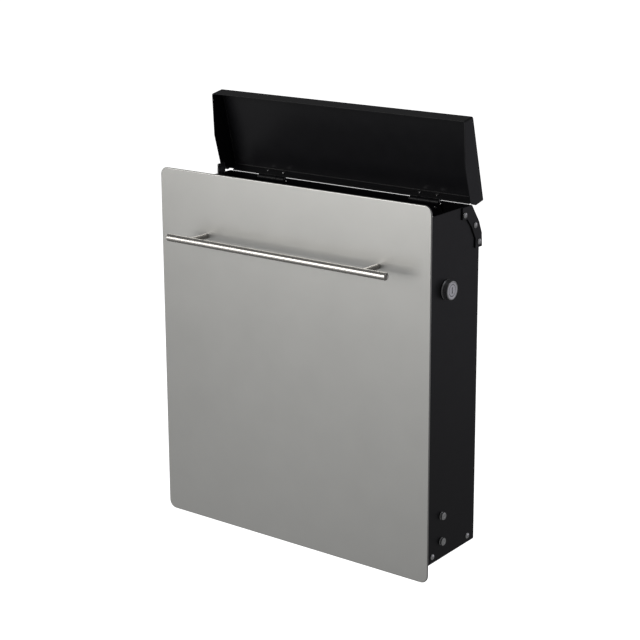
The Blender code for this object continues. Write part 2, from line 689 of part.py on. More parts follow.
def front_door():
    panel_frame = Matrix.Translation((0, PANEL_BACK, 0)) @ FRONTWAYS
    outline = rounded_rectangle((-PANEL_HALF, PANEL_BOTTOM), (PANEL_HALF, PANEL_TOP), PANEL_CORNER)
    holes = [circle((side * POST_X, HANDLE_Z), SCREW_RADIUS + GAP, 12) for side in (1, -1)]
    panel = plate("front_panel", [outline, *holes], PANEL_THICK, panel_frame, "satin_silver")

    low, high = BOX_BOTTOM + TRAY_END_CLEARANCE, BOX_TOP - TRAY_END_CLEARANCE - GAP
    tray = block("door_tray", (-TRAY_HALF, TRAY_FRONT, low), (TRAY_HALF, TRAY_REAR, high), "black_powder_coat")
    hollow = block("tray_hollow", (-TRAY_HALF + SHEET, TRAY_BACK_FACE, low + SHEET),
                   (TRAY_HALF - SHEET, TRAY_REAR + MM, high - SHEET))
    boolean(tray, hollow)
    for label, side in (("right", 1), ("left", -1)):
        start = TRAY_HALF - SHEET if side > 0 else -TRAY_HALF
        shift = Matrix.Translation((start, 0, 0))
        bore = circle((PIVOT.y, PIVOT.z), PIN_RADIUS + GAP)
        wing = plate(f"wing_{label}", [wing_outline(), bore, stop_slot()], SHEET, shift @ SIDEWAYS)
        boolean(tray, wing, "UNION")
    reach = PANEL_THICK * 3
    pieces = [panel, tray, lock_catch()]
    for label, side in (("right", 1), ("left", -1)):
        x = side * POST_X
        start = (x, TRAY_FRONT - MM, HANDLE_Z)
        boolean(tray, cylinder(f"tray_screw_bore_{label}", SCREW_RADIUS + GAP, start, (0, 1, 0), reach))
        pieces += handle_post(label, x)
    pieces.append(handle_bar())
    attach(empty("door_pivot", PIVOT), *pieces)


def handle_bar():
    half, edge = HANDLE_HALF, HANDLE_EDGE
    radius = HANDLE_RADIUS
    profile = [(0, half), (radius - edge, half), (radius, half - edge), (radius, edge - half),
               (radius - edge, -half), (0, -half)]
    bar = turned("handle_bar", profile, pointing((0, HANDLE_Y, HANDLE_Z), (1, 0, 0)), "stainless_bar")
    for label, side in (("right", 1), ("left", -1)):
        start = (side * POST_X, HANDLE_Y + POST_SEAT, HANDLE_Z)
        boolean(bar, cylinder(f"bar_seat_{label}", POST_RADIUS + GAP, start, (0, 1, 0), 2 * HANDLE_RADIUS))
    return bar


def handle_post(label, x):
    """A post, whose front end sits in the bar, and the screw that holds it from inside the door."""
    length = HANDLE_STANDOFF - POST_SEAT - 2 * GAP
    bore, depth = SCREW_RADIUS + GAP, SCREW_REACH + MM
    profile = [(0, length), (POST_RADIUS, length), (POST_RADIUS, 0), (bore, 0), (bore, depth), (0, depth)]
    post = turned(f"handle_post_{label}", profile,
                  pointing((x, PANEL_FACE - GAP, HANDLE_Z), (0, -1, 0)), "stainless_bar")
    head, height = SCREW_HEAD_RADIUS, SCREW_HEAD_HEIGHT
    reach = SHEET + GAP + PANEL_THICK + 2 * GAP + SCREW_REACH
    profile = [(0, height), (head * 0.8, height), (head, height * 0.6), (head, 0), (SCREW_RADIUS, 0),
               (SCREW_RADIUS, -reach), (0, -reach)]
    screw = turned(f"handle_screw_{label}", profile,
                   pointing((x, TRAY_BACK_FACE + GAP, HANDLE_Z), (0, 1, 0)), "zinc_plate")
    return [post, screw]


def lock_housing():
    """The chrome housing, which passes through the right side wall, and the nut that clamps it from inside."""
    bezel, barrel, bore = LOCK_BEZEL_RADIUS, LOCK_BARREL_RADIUS, LOCK_PLUG_RADIUS + GAP
    front, face = LOCK_PROJECTION, LOCK_PROJECTION - LOCK_RECESS
    rim = bezel - LOCK_RIM
    edge = 0.5 * MM
    length = LOCK_BARREL_LENGTH
    profile = [
        (rim, front), (bezel - edge, front), (bezel, front - edge), (bezel, GAP), (barrel, GAP),
        (barrel, -length), (bore, -length), (bore, face), (rim, face),
    ]
    turned("lock_housing", profile, pointing(LOCK, (1, 0, 0)), "polished_chrome", 32)
    thick = LOCK_NUT_THICK
    nut_frame = Matrix.Translation((BOX_INNER - GAP - thick, 0, 0)) @ SIDEWAYS
    outlines = [circle((LOCK.y, LOCK.z), LOCK_NUT_RADIUS, 6), circle((LOCK.y, LOCK.z), barrel + GAP)]
    plate("lock_nut", outlines, thick, nut_frame, "zinc_plate")


def lock():
    """The plug, the cam behind it and its screw, which turn together. The cam points forward until it is turned."""
    face = LOCK_PROJECTION - LOCK_RECESS
    rear = LOCK.x - CAM_FACE - GAP
    screw_bore, depth = SCREW_RADIUS + GAP, SCREW_REACH
    profile = [(0, face), (LOCK_PLUG_RADIUS, face), (LOCK_PLUG_RADIUS, -rear), (screw_bore, -rear),
               (screw_bore, depth - rear), (0, depth - rear)]
    plug = turned("lock_plug", profile, pointing(LOCK, (1, 0, 0)), "polished_chrome")
    wide, tall, deep = KEY_SLOT
    front = LOCK.x + face
    boolean(plug, block("key_slot", (front - deep, LOCK.y - wide / 2, LOCK.z - tall / 2),
                        (front + MM, LOCK.y + wide / 2, LOCK.z + tall / 2)))
    half = CAM_WIDTH / 2
    disc = half * 1.3
    side = asin(half / disc)
    tip = 2 * MM
    y, z = LOCK.y, LOCK.z
    end = arc((y - CAM_REACH + tip, z + half - tip), tip, pi / 2, pi, 4)
    end += arc((y - CAM_REACH + tip, z - half + tip), tip, pi, 3 * pi / 2, 4)
    round_end = arc((y, z), disc, side - pi, pi - side, 16)
    cam_frame = Matrix.Translation((CAM_REAR, 0, 0)) @ SIDEWAYS
    outlines = [round_end + end, circle((y, z), SCREW_RADIUS + GAP, 12)]
    cam = plate("lock_cam", outlines, CAM_THICK, cam_frame, "zinc_plate")
    head, height = SCREW_HEAD_RADIUS, SCREW_HEAD_HEIGHT
    reach = CAM_THICK + 2 * GAP + SCREW_REACH - MM
    profile = [(0, height), (head * 0.8, height), (head, height * 0.6), (head, 0), (SCREW_RADIUS, 0),
               (SCREW_RADIUS, -reach), (0, -reach)]
    screw_at = pointing((CAM_REAR - GAP, y, z), (-1, 0, 0))
    screw = turned("cam_screw", profile, screw_at, "zinc_plate")
    attach(empty("lock_axis", LOCK), plug, cam, screw)


def lid_frame():
    """Local X runs from the lid's rear corner to its front, local Y is its inner depth, local Z is along +X."""
    shut = Matrix(((0, 0, 1, 0), (-1, 0, 0, -LID_FROM_WALL), (0, -1, 0, LID_TOP), (0, 0, 0, 1)))
    swing = Matrix.Translation(HINGE) @ Matrix.Rotation(-LID_OPEN, 4, "X") @ Matrix.Translation(-HINGE)
    return swing @ shut


def lid():
    frame = lid_frame()
    length = LID_LENGTH
    outline = [
        (0, 0),
        (length, 0),
        (length + LIP_FRONT_LEAN, LIP_FRONT),
        (length * LID_MIDDLE, LID_FLANGE_MIDDLE),
        (LID_CORNER_RUN, LID_FLANGE_REAR),
        (LID_CORNER_START, LID_FLANGE_REAR - LID_CORNER_RISE),
        (LIP_REAR_LEAN, LIP_REAR),
    ]
    shift = Matrix.Translation((-LID_HALF, 0, 0))
    pan = plate("lid_pan", [outline], 2 * LID_HALF, shift @ frame, "black_powder_coat")
    beyond = 2 * LID_FLANGE_MIDDLE
    hollow = [
        (SHEET, SHEET),
        (length - SHEET, SHEET),
        (length + LIP_FRONT_LEAN - SHEET, LIP_FRONT),
        (length + LIP_FRONT_LEAN - SHEET, beyond),
        (-5 * MM, beyond),
        (-5 * MM, LIP_REAR),
        (LIP_REAR_LEAN + SHEET, LIP_REAR),
    ]
    inner = LID_HALF - SHEET
    shift = Matrix.Translation((-inner, 0, 0))
    boolean(pan, plate("lid_hollow", [hollow], 2 * inner, shift @ frame))
    notch_top = LID_TOP - BOX_TOP - LID_TOP_CLEARANCE
    notch = rectangle((-2 * MM, notch_top), (LIP_REAR_LEAN + 2 * SHEET, LIP_REAR + MM))
    for label, side in (("right", 1), ("left", -1)):
        start = BOX_INNER - MM if side > 0 else -inner
        depth = inner - BOX_INNER + MM
        shift = Matrix.Translation((start, 0, 0))
        boolean(pan, plate(f"lid_notch_{label}", [notch], depth, shift @ frame))
    pieces = [pan] + lid_hinges(pan, frame)
    attach(empty("lid_hinge_axis", HINGE), *pieces)


def lid_hinges(pan, frame):
    """The lid's leaves on the outside of its rear lip, their rivets and the hinge pins."""
    lean = atan2(LIP_REAR_LEAN, LIP_REAR)
    turn = frame.to_3x3()
    to_top = turn @ Vector((-sin(lean), -cos(lean), 0))
    outward = turn @ Vector((-cos(lean), sin(lean), 0))
    corner = frame @ Vector((0, 0, 0))
    depth = (HINGE - corner).dot(outward)
    near = depth - LEAF_GAP - LEAF_THICK
    pieces = []
    for label, side in (("right", 1), ("left", -1)):
        leaf = hinge_leaf(f"lid_leaf_{label}", side, near, along_leaf(to_top, -outward), middle=False)
        pieces.append(leaf)
        for place in ("outer", "inner"):
            x = leaf_rivet_xs()[f"{place}_{label}"]
            along = LEAF_LENGTH - LEAF_RIVET_INSET
            face = HINGE + to_top * along - outward * near + Vector((x, 0, 0))
            for piece in (leaf, pan):
                start = face + outward * 2 * MM
                bore = cylinder(f"lid_bore_{place}_{label}_{piece.name}", SMALL_HOLE, start, -outward, 8 * MM)
                boolean(piece, bore)
            grip = LEAF_THICK + LEAF_GAP + SHEET
            pieces.append(rivet(f"lid_rivet_{place}_{label}", face, outward, grip, SMALL_RIVET))
        length = HINGE_WIDTH + HINGE_PIN_EXTRA
        start = HINGE + Vector((side * HINGE_X - length / 2, 0, 0))
        pieces.append(cylinder(f"hinge_pin_{label}", HINGE_PIN_RADIUS, start, (1, 0, 0), length, "polished_chrome"))
    return pieces


clear_scene()
PARTS = collection("wall_mailbox")
CUTTERS = collection("cutters")
fixed_box()
fixed_leaves()
front_door()
lock()
lid()
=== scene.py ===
"""The looks of a wall mounted mailbox, built piece by piece over its fixed frame.

Every piece stands where the frame has it, in metres. +X is to the right, +Y into the wall and +Z up.
"""

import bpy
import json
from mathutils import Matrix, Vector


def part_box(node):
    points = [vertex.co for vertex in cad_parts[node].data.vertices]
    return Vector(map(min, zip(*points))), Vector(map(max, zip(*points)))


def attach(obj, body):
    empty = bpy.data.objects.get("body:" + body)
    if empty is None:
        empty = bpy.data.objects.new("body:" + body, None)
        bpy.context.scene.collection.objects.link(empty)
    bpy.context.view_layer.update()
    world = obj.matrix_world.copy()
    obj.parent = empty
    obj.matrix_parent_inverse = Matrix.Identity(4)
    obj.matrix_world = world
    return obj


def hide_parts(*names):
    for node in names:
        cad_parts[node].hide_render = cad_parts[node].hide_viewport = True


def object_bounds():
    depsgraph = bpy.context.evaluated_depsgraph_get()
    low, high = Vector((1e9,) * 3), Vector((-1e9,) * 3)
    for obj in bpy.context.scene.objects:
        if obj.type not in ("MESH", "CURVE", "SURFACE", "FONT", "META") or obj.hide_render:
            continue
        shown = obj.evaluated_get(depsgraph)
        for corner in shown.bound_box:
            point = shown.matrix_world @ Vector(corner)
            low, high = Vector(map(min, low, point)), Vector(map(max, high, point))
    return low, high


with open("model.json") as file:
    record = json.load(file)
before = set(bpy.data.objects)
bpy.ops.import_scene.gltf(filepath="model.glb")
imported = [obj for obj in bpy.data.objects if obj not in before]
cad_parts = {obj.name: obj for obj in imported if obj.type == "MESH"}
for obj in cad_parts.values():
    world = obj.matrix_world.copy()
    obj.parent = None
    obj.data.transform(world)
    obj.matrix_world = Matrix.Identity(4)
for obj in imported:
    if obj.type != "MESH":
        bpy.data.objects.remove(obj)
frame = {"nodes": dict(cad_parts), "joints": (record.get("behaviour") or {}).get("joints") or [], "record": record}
FRAME_BOX = [list(corner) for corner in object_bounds()]

import json
from math import cos, pi, radians, sin

import bmesh
import bpy
from bpy.props import FloatProperty, FloatVectorProperty, PointerProperty
from bpy.types import Operator, Panel, PropertyGroup
from mathutils import Matrix, Vector

bl_info = {
    "name": "Wall Mailbox",
    "version": (1, 0, 0),
    "blender": (4, 5, 0),
    "location": "View3D > Sidebar > Mailbox",
    "description": "Builds a wall mounted mailbox with a tilting front, a hinged lid and a side lock",
    "category": "Add Mesh",
}

MM = 0.001
SIDES = ("left", "right")
RIGHT = Vector((1, 0, 0))
FORWARD = Vector((0, -1, 0))

# How an outline drawn in local XY stands in the object
ON_SIDE = Matrix(((0, 0, 1, 0), (1, 0, 0, 0), (0, 1, 0, 0), (0, 0, 0, 1)))
ON_FRONT = Matrix(((1, 0, 0, 0), (0, 0, -1, 0), (0, 1, 0, 0), (0, 0, 0, 1)))

# Edges that turn by more than this are shaded as corners
CORNER_ANGLE = radians(35)

# Pieces that lie on a wall stand this far off it
SEAT_GAP = 0.3 * MM

LID_SHEET = 1.2 * MM

# Each light's name, place, size, power in watts and colour
LIGHTS = (
    ("key_light", (-1.0, -2.5, 0.72), (2.15, 1.6), 36, (1, 0.985, 0.96)),
    ("low_fill", (-1.3, -2.4, -0.85), (2.2, 1.5), 3.7, (1, 1, 1)),
    ("rear_fill", (2.4, 2.2, 0.1), (2.6, 2.4), 6.5, (0.9, 0.87, 1)),
    ("top_fill", (0.5, -0.1, 2.0), (1.2, 1.2), 1.0, (0.9, 0.92, 1)),
)
LIGHTS_AIM = Vector((0, -0.06, 0.03))
WORLD_STRENGTH = 0.14
FLOOR_HALF = 30


# Sizes and colours that a user would change

class MailboxSizes(PropertyGroup):
    panel_edge: FloatProperty(name="Panel edge", description="Radius of the front panel's eased edge",
                              default=0.95 * MM, unit="LENGTH")
    panel_corner: FloatProperty(name="Panel corner", description="Radius of the front panel's corners",
                                default=9 * MM, unit="LENGTH")
    sheet_edge: FloatProperty(name="Sheet edge", description="Radius of a cut and coated sheet's edge",
                              default=0.35 * MM, unit="LENGTH")
    fold: FloatProperty(name="Fold", description="Outer radius of a fold in the lid's sheet",
                        default=2.2 * MM, unit="LENGTH")
    handle_edge: FloatProperty(name="Handle edge", description="Chamfer on the ends of the handle bar",
                               default=0.7 * MM, unit="LENGTH")
    metal_edge: FloatProperty(name="Metal edge", description="Radius on the edges of the plain metal parts",
                              default=0.18 * MM, unit="LENGTH")


class MailboxColours(PropertyGroup):
    panel: FloatVectorProperty(name="Panel", description="Satin silver of the front panel", subtype="COLOR",
                               size=3, min=0, max=1, default=(0.56, 0.56, 0.545))
    coat: FloatVectorProperty(name="Coat", description="Black powder coat", subtype="COLOR",
                              size=3, min=0, max=1, default=(0.0075, 0.0075, 0.0095))
    zinc: FloatVectorProperty(name="Zinc", description="Bright zinc plate", subtype="COLOR",
                              size=3, min=0, max=1, default=(0.55, 0.56, 0.57))
    chrome: FloatVectorProperty(name="Chrome", description="Polished chrome", subtype="COLOR",
                                size=3, min=0, max=1, default=(0.78, 0.78, 0.79))
    stainless: FloatVectorProperty(name="Stainless", description="Brushed stainless steel", subtype="COLOR",
                                   size=3, min=0, max=1, default=(0.68, 0.66, 0.63))


class MailboxStudio(PropertyGroup):
    camera_place: FloatVectorProperty(name="Camera", description="Where the camera stands", size=3,
                                      subtype="TRANSLATION", unit="LENGTH",
                                      default=(1.0446, -1.4617, 0.5556))
    camera_turn: FloatProperty(name="Turn", description="The camera's turn about the vertical",
                               subtype="ANGLE", default=radians(36.84))
    camera_dip: FloatProperty(name="Dip", description="How far the camera looks down",
                              subtype="ANGLE", default=radians(14.06))
    camera_roll: FloatProperty(name="Roll", description="The camera's roll", subtype="ANGLE",
                               default=radians(-0.27))
    camera_lens: FloatProperty(name="Lens", description="Focal length in millimetres", default=93.93)
    camera_shift: FloatProperty(name="Shift", description="The camera's vertical shift", default=-0.1)
    floor_below: FloatProperty(name="Floor", description="How far the floor is below the mailbox",
                               default=0.35, unit="LENGTH")


# Shader maths and materials

class Reading:
    """A node's output that stands in an expression. Each operation on it adds a Math node."""

    def __init__(self, finish, output):
        self.finish = finish
        self.output = output

    def maths(self, operation, *values):
        return self.finish.node("ShaderNodeMath", {"operation": operation}, dict(enumerate(values)))

    def __add__(self, other):
        return self.maths("ADD", self, other)

    def __mul__(self, other):
        return self.maths("MULTIPLY", self, other)

    __radd__ = __add__
    __rmul__ = __mul__


class Finish:
    """A material in the making. Its constants go on the shader's own sockets."""

    def __init__(self, name, metallic, roughness, specular=0.5):
        self.material = bpy.data.materials.new(name)
        self.material.use_nodes = True
        self.tree = self.material.node_tree
        self.shader = self.tree.nodes["Principled BSDF"]
        self.shader.inputs["Metallic"].default_value = metallic
        self.shader.inputs["Roughness"].default_value = roughness
        self.shader.inputs["Specular IOR Level"].default_value = specular

    def feed(self, socket, value):
        if isinstance(value, Reading):
            self.tree.links.new(value.output, socket)
        else:
            socket.default_value = value

    def node(self, kind, settings=None, inputs=None, output=0):
        made = self.tree.nodes.new(kind)
        for key, value in (settings or {}).items():
            if key == "stops":
                self.set_stops(made.color_ramp, value)
            else:
                setattr(made, key, value)
        for key, value in (inputs or {}).items():
            self.feed(made.inputs[key], value)
        return Reading(self, made.outputs[output])

    def set_stops(self, ramp, stops):
        for element, (place, level) in zip(ramp.elements, stops):
            element.position = place
            element.color = (level, level, level, 1)

    def place(self):
        """Where a point is in the row frame, in metres."""
        return self.node("ShaderNodeTexCoord", output="Object")

    def stretched(self, scale):
        """Places scaled by an amount for each axis, so that a grain can run along one of them."""
        return self.node("ShaderNodeMapping", None, {"Vector": self.place(), "Scale": scale})

    def speckle(self, where, scale, detail=3.0, roughness=0.55):
        return self.node("ShaderNodeTexNoise", None,
                         {"Vector": where, "Scale": scale, "Detail": detail, "Roughness": roughness})

    def ramp(self, value, low, high):
        """0 up to the low stop and 1 from the high one on."""
        return self.node("ShaderNodeValToRGB", {"stops": ((low, 0), (high, 1))}, {"Fac": value})

    def edges(self):
        """About 1 along convex edges and 0 on flat faces: the mask where the finishes paint an edge highlight."""
        return self.ramp(self.node("ShaderNodeNewGeometry", output="Pointiness"), 0.52, 0.62)

    def mix(self, amount, first, second):
        pair = {0: amount, 6: (*first, 1) if isinstance(first, tuple) else first, 7: (*second, 1)}
        return self.node("ShaderNodeMix", {"data_type": "RGBA"}, pair, output=2)

    def colour(self, value):
        self.feed(self.shader.inputs["Base Color"], value)

    def roughness(self, value):
        self.feed(self.shader.inputs["Roughness"], value)

    def relief(self, height, strength, distance):
        inputs = {"Height": height, "Strength": strength, "Distance": distance}
        bump = self.node("ShaderNodeBump", None, inputs)
        self.feed(self.shader.inputs["Normal"], bump)


def scaled(colour, amount):
    return tuple(channel * amount for channel in colour)


def satin_silver(colours):
    """A fine even satin with a faint mottle, and a painted highlight that makes it a little brighter along its
    edges.
    """
    finish = Finish("satin_silver_sheet", 1.0, 0.36)
    colour = tuple(colours.panel)
    place = finish.place()
    mottle = finish.speckle(place, 26, 4)
    grain = finish.speckle(finish.stretched((260, 260, 2600)), 1, 2)
    tone = finish.mix(mottle, scaled(colour, 0.965), scaled(colour, 1.035))
    # Painted highlight: the colour is lighter along convex edges
    finish.colour(finish.mix(finish.edges() * 0.6, tone, scaled(colour, 1.3)))
    finish.roughness(0.335 + mottle * 0.03 + grain * 0.03)
    finish.relief(grain, 0.05, 0.05 * MM)
    return finish.material


def black_coat(colours):
    """Powder coat: a fine orange peel, a softer gloss between the grains and a painted highlight that makes its
    edges greyer.
    """
    roughness = 0.42
    finish = Finish("black_powder_coat_sheet", 0.0, roughness, 0.32)
    colour = tuple(colours.coat)
    place = finish.place()
    peel = finish.speckle(place, 950, 2)
    dust = finish.speckle(place, 60, 5, 0.65)
    tone = finish.mix(dust, scaled(colour, 0.8), scaled(colour, 1.25))
    # Painted highlight: the black is lighter and greyer along convex edges
    finish.colour(finish.mix(finish.edges() * 0.35, tone, scaled(colour, 2.4)))
    finish.roughness(roughness - 0.04 + dust * 0.08)
    finish.relief(peel, 0.22, 0.06 * MM)
    return finish.material


def bright_zinc(colours):
    """Zinc plate: a cloudy passivated bloom over rolled sheet."""
    finish = Finish("bright_zinc_plate", 1.0, 0.34)
    colour = tuple(colours.zinc)
    place = finish.place()
    cloud = finish.speckle(place, 140, 4, 0.6)
    rolled = finish.speckle(finish.stretched((300, 300, 4200)), 1, 2)
    bright = (colour[0] * 1.05, colour[1] * 1.05, colour[2] * 1.02)
    tone = finish.mix(cloud, scaled(colour, 0.72), bright)
    # Painted highlight: the colour is lighter along convex edges
    finish.colour(finish.mix(finish.edges() * 0.5, tone, scaled(colour, 1.4)))
    finish.roughness(0.26 + cloud * 0.14 + rolled * 0.05)
    finish.relief(rolled, 0.12, 0.04 * MM)
    return finish.material


def polished_chrome(colours, base=0.10, tone=1.0):
    """Chrome with fine handling scratches."""
    finish = Finish("polished_chrome_plate", 1.0, base)
    colour = scaled(tuple(colours.chrome), tone)
    scratch = finish.speckle(finish.stretched((5200, 700, 700)), 1, 3, 0.7)
    cloud = finish.speckle(finish.place(), 420, 3)
    finish.colour(finish.mix(cloud, scaled(colour, 0.93), scaled(colour, 1.04)))
    finish.roughness(base - 0.02 + scratch * 0.08 + cloud * 0.03)
    finish.relief(scratch, 0.06, 0.02 * MM)
    return finish.material


def brushed_stainless(colours):
    """A ground bar: fine rings round it, so that its gloss draws out along its length."""
    finish = Finish("brushed_stainless_bar", 1.0, 0.27)
    colour = tuple(colours.stainless)
    rings = finish.speckle(finish.stretched((2600, 40, 40)), 1, 3, 0.7)
    cloud = finish.speckle(finish.stretched((40, 160, 160)), 1, 3)
    finish.colour(finish.mix(rings, scaled(colour, 0.92), scaled(colour, 1.06)))
    finish.roughness(0.22 + rings * 0.05 + cloud * 0.05)
    finish.relief(rings, 0.02, 0.01 * MM)
    return finish.material


MAKERS = {
    "satin_silver": satin_silver,
    "black_powder_coat": black_coat,
    "zinc_plate": bright_zinc,
    "polished_chrome": polished_chrome,
    "stainless_bar": brushed_stainless,
}


def made_once(key, maker, *settings):
    """The material of that name, made the first time it is asked for."""
    found = bpy.data.materials.get(key)
    if found is None:
        found = maker(bpy.context.scene.mailbox_colours, *settings)
        found.name = key
    return found


def finish_for(slot):
    """The material for one of the record's slots."""
    return made_once("mailbox_" + slot, MAKERS[slot])


def satin_chrome():
    """The lock's chrome, less bright than the rivets' because it was brushed before plating."""
    return made_once("mailbox_satin_chrome", polished_chrome, 0.3, 0.95)


# Outlines and meshes

def middle(node):
    low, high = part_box(node)
    return (low + high) / 2


def arc(centre, radius, start, end, steps):
    turns = [start + (end - start) * i / steps for i in range(steps + 1)]
    return [(centre[0] + radius * cos(a), centre[1] + radius * sin(a)) for a in turns]


def circle(centre, radius, steps=48):
    return arc(centre, radius, 0, 2 * pi, steps)[:-1]


def eased(points, radius, steps):
    """The closed outline with each corner rounded off."""
    made = []
    for i, point in enumerate(points):
        here = Vector(point)
        before = Vector(points[i - 1]) - here
        after = Vector(points[(i + 1) % len(points)]) - here
        reach = min(radius, before.length * 0.45, after.length * 0.45)
        start = here + before.normalized() * reach
        end = here + after.normalized() * reach
        for step in range(steps + 1):
            t = step / steps
            made.append(tuple(start * (1 - t) ** 2 + here * 2 * t * (1 - t) + end * t ** 2))
    return made


def rounded_rectangle(low, high, radius, steps=12):
    corners = (
        (high[0] - radius, high[1] - radius, 0),
        (low[0] + radius, high[1] - radius, pi / 2),
        (low[0] + radius, low[1] + radius, pi),
        (high[0] - radius, low[1] + radius, 3 * pi / 2),
    )
    return [p for u, v, a in corners for p in arc((u, v), radius, a, a + pi / 2, steps)]


def pointing(point, direction):
    turn = Vector(direction).to_track_quat("Z", "Y")
    return Matrix.Translation(point) @ turn.to_matrix().to_4x4()


def settled(mesh, place):
    """The mesh in the row frame, welded, with smooth shading that breaks at its corners."""
    form = bmesh.new()
    form.from_mesh(mesh)
    bmesh.ops.remove_doubles(form, verts=form.verts, dist=0.002 * MM)
    bmesh.ops.recalc_face_normals(form, faces=form.faces)
    form.transform(place)
    form.to_mesh(mesh)
    form.free()
    mesh.shade_smooth()
    mesh.set_sharp_from_angle(angle=CORNER_ANGLE)
    return mesh


def sheet(name, outlines, thickness, place, edge):
    """A flat sheet with eased edges. Its lower face lies in local XY, and the first outline is its rim."""
    curve = bpy.data.curves.new(name, "CURVE")
    curve.dimensions = "2D"
    curve.fill_mode = "BOTH"
    curve.extrude = thickness / 2 - edge
    curve.bevel_depth = edge
    curve.bevel_resolution = 3
    curve.offset = -edge
    for points in outlines:
        spline = curve.splines.new("POLY")
        spline.points.add(len(points) - 1)
        for point, (u, v) in zip(spline.points, points):
            point.co = (u, v, 0, 1)
        spline.use_cyclic_u = True
    guide = bpy.data.objects.new(name, curve)
    bpy.context.scene.collection.objects.link(guide)
    bpy.context.view_layer.update()
    graph = bpy.context.evaluated_depsgraph_get()
    mesh = bpy.data.meshes.new_from_object(guide.evaluated_get(graph))
    bpy.data.objects.remove(guide)
    bpy.data.curves.remove(curve)
    mesh.materials.clear()
    return settled(mesh, place @ Matrix.Translation((0, 0, thickness / 2)))


def turned(name, profile, place, steps=64):
    """A turned piece about local Z. The profile's (radius, height) points run along its outer side."""
    form = bmesh.new()
    rows = []
    for radius, height in profile:
        if radius < 0.001 * MM:
            rows.append([form.verts.new((0, 0, height))])
        else:
            rows.append([form.verts.new((u, v, height)) for u, v in circle((0, 0), radius, steps)])
    for upper, lower in zip(rows, rows[1:]):
        for i in range(steps):
            j = (i + 1) % steps
            over = (upper[i % len(upper)], upper[j % len(upper)])
            under = (lower[j % len(lower)], lower[i % len(lower)])
            corners = list(dict.fromkeys(over + under))
            if len(corners) > 2:
                form.faces.new(corners)
    mesh = bpy.data.meshes.new(name)
    form.to_mesh(mesh)
    form.free()
    return settled(mesh, place)


def keep_flats_flat(made):
    """Shades each flat face by its own direction, so that only its eased edge turns."""
    even = made.modifiers.new("Flat faces", "WEIGHTED_NORMAL")
    even.keep_sharp = True
    even.weight = 90


def piece(name, meshes, slot, body, nodes, material=None, folded=False):
    """One object of the meshes together, riding on its body in place of the CAD nodes.

    It wears its slot's material unless it is given another. A folded piece adds its flat faces itself,
    after its other modifiers.
    """
    joined = meshes[0]
    if len(meshes) > 1:
        form = bmesh.new()
        for mesh in meshes:
            form.from_mesh(mesh)
        joined = bpy.data.meshes.new(name)
        form.to_mesh(joined)
        form.free()
        joined.set_sharp_from_angle(angle=CORNER_ANGLE)
    joined.materials.append(material or finish_for(slot))
    made = bpy.data.objects.new(name, joined)
    bpy.context.scene.collection.objects.link(made)
    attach(made, body)
    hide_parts(*nodes)
    if not folded:
        keep_flats_flat(made)
    return made


def sizes():
    return bpy.context.scene.mailbox_sizes


def outward(side):
    return RIGHT if side == "right" else -RIGHT


def seat(side, node, height):
    """Where a piece's seat is in X, when its head stands that high outside it."""
    low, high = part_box(node)
    return high.x - height if side == "right" else low.x + height


# Pieces

def build_front_panel():
    low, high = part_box("front_panel")
    outline = rounded_rectangle((low.x, low.z), (high.x, high.z), sizes().panel_corner)
    place = Matrix.Translation((0, high.y, 0)) @ ON_FRONT
    skin = sheet("front_skin", [outline], high.y - low.y, place, sizes().panel_edge)
    piece("front_skin", [skin], "satin_silver", "door", ["front_panel"])


def build_handle_rail():
    """The bar. Each end has a chamfer round a shallow turned face."""
    low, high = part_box("handle_bar")
    half = high.x
    radius = (high.z - low.z) / 2
    chamfer = sizes().handle_edge
    face_depth = 0.12 * MM
    end = [
        (0, half - face_depth), (radius - 2.2 * chamfer, half - face_depth),
        (radius - 1.9 * chamfer, half), (radius - chamfer, half),
        (radius - 0.25 * chamfer, half - 0.4 * chamfer), (radius, half - chamfer),
    ]
    profile = end + [(r, -h) for r, h in reversed(end)]
    centre = middle("handle_bar")
    place = pointing((0, centre.y, centre.z), RIGHT)
    rail = turned("handle_rail", profile, place, 96)
    piece("handle_rail", [rail], "stainless_bar", "door", ["handle_bar"])


def build_handle_stem(side):
    """A stem from the panel to the bar, a little narrower at its foot on the panel."""
    node = f"handle_post_{side}"
    low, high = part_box(node)
    centre = (low + high) / 2
    radius = (high.x - low.x) / 2
    length = high.y - low.y
    foot = 0.25 * MM
    profile = [
        (0, length), (radius - foot, length), (radius, length - foot), (radius, 2 * foot),
        (radius - foot * 0.6, foot), (radius - foot, 0), (0, 0),
    ]
    place = pointing((centre.x, high.y, centre.z), FORWARD)
    piece(f"handle_stem_{side}", [turned(node, profile, place, 48)], "stainless_bar", "door", [node])


def build_handle():
    build_handle_rail()
    for side in SIDES:
        build_handle_stem(side)


def build_lock_body(wall, plug, face):
    """The lock's turned body: a rimmed head on a thin flange, and a barrel through the wall."""
    low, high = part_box("lock_housing")
    centre = (low + high) / 2
    flange = (high.z - low.z) / 2
    front = high.x - wall
    rear = low.x - wall
    bore = plug + 0.3 * MM
    bore_ease = 0.25 * MM
    barrel = 8.5 * MM
    barrel_ease = 0.4 * MM
    rim = flange - 2.1 * MM
    head = flange - 0.75 * MM
    ease = 0.9 * MM
    flange_ease = 0.15 * MM
    turns = [radians(degrees) for degrees in range(0, 91, 18)]
    profile = [
        (bore, face - bore_ease), (bore + bore_ease, face),
        (rim - 0.2 * MM, face), (rim, face + 0.1 * MM),
        *[(head - ease + ease * sin(a), front - ease + ease * cos(a)) for a in turns],
        (head + 0.25 * MM, 2.6 * MM), (head + 0.45 * MM, 1.9 * MM),
        (flange - flange_ease, 1.6 * MM), (flange, 1.35 * MM),
        (flange, 0.6 * MM), (flange - flange_ease, SEAT_GAP),
        (barrel, SEAT_GAP), (barrel, rear + barrel_ease), (barrel - barrel_ease, rear),
        (bore, rear), (bore, face - bore_ease),
    ]
    axis = pointing((wall, centre.y, centre.z), RIGHT)
    body = turned("lock_body", profile, axis, 96)
    piece("lock_body", [body], "polished_chrome", "box", ["lock_housing"], satin_chrome())


